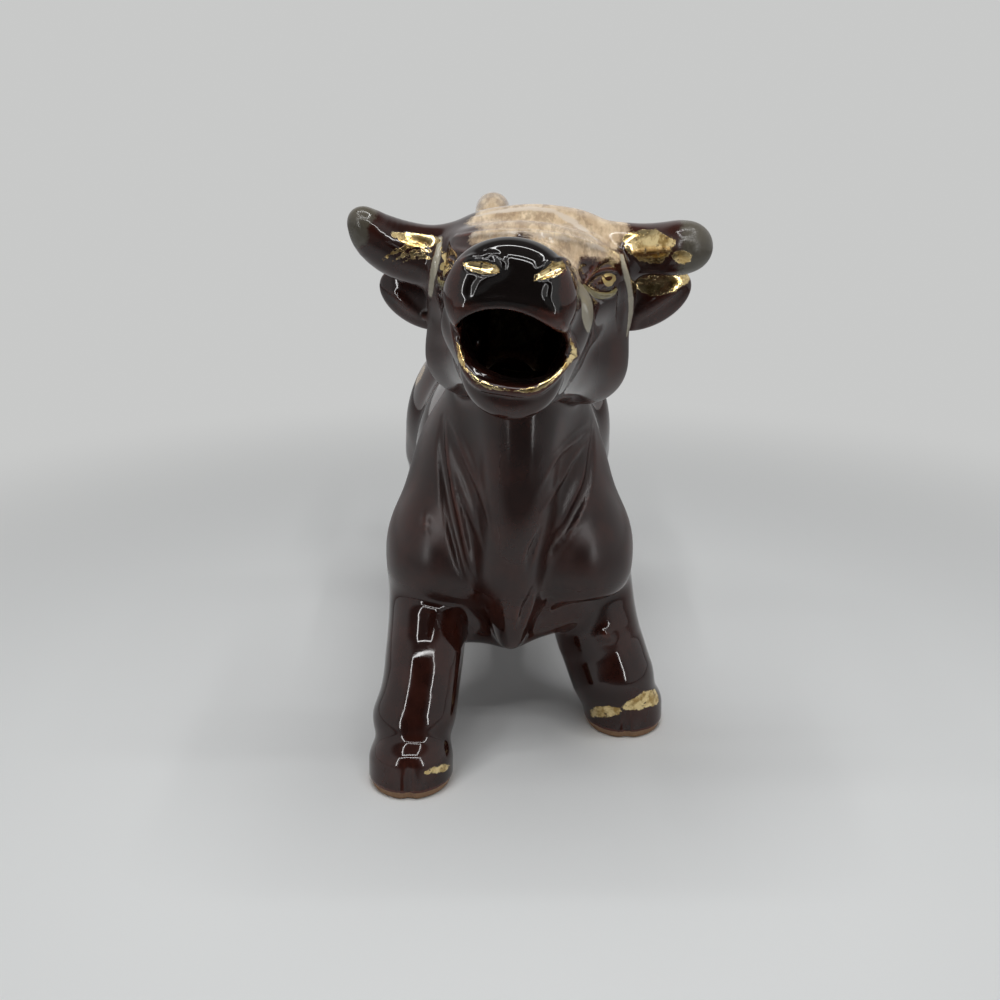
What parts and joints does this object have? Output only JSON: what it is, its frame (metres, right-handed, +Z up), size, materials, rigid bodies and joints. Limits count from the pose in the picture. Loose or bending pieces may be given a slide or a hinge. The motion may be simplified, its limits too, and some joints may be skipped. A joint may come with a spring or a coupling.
{
  "type": "bull creamer",
  "caption": "Small glazed pottery jug shaped as a standing bull: filled through the back, poured from the open mouth, held by the looped tail.",
  "frame": {"origin": "on the ground, under the middle of the bull's bounding box", "axes": "+Z up; the bull looks along -Y, so +Y is towards its tail; +X is the bull's own left side"},
  "size_m": [0.0704, 0.1614, 0.1193],
  "materials": {
    "glaze_brown": "glossy dark brown glaze with worn gold touches",
    "glaze_cream": "glossy tan and cream glaze, sprayed over the brown"
  },
  "bodies": {
    "root": {"barrel_shell": "glaze_brown", "neck_shell": "glaze_brown", "head_shell": "glaze_brown", "horn_left": "glaze_brown", "horn_right": "glaze_brown", "ear_left": "glaze_brown", "ear_right": "glaze_brown", "tail_handle": "glaze_cream", "foreleg_left": "glaze_brown", "foreleg_right": "glaze_brown", "hindleg_left": "glaze_brown", "hindleg_right": "glaze_brown"}
  },
  "joints": []
}
